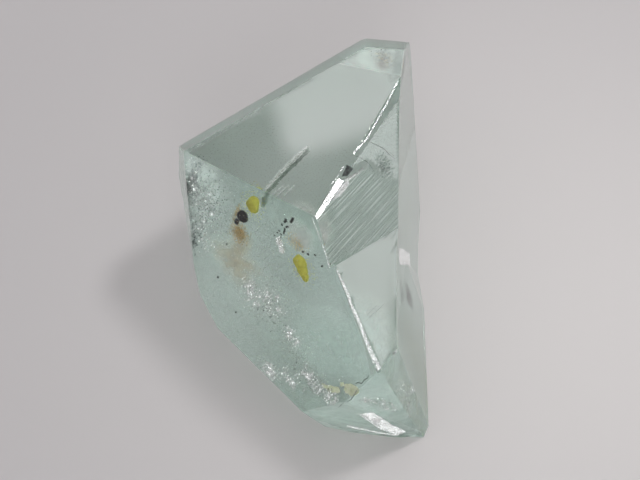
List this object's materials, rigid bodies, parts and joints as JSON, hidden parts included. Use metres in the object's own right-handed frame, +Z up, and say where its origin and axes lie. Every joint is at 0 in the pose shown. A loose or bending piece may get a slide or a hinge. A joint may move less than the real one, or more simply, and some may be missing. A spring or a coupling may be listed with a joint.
{
  "type": "liroconite crystal",
  "caption": "Single transparent pale aqua faceted crystal with a striated face, sealed mineral grains and a broken end, lying on a flat facet.",
  "frame": {"origin": "bottom centre of the crystal's bounding box, on the surface that it rests on", "axes": "+Z up, +Y along the crystal's length from the broken end to the tip, +X towards the steep side wall"},
  "size_m": [0.011, 0.0182, 0.0094],
  "materials": {
    "clear_crystal": "polished natural crystal faces with fine growth lines, see-through, very pale aqua"
  },
  "bodies": {
    "root": {"crystal": "clear_crystal"}
  },
  "joints": []
}
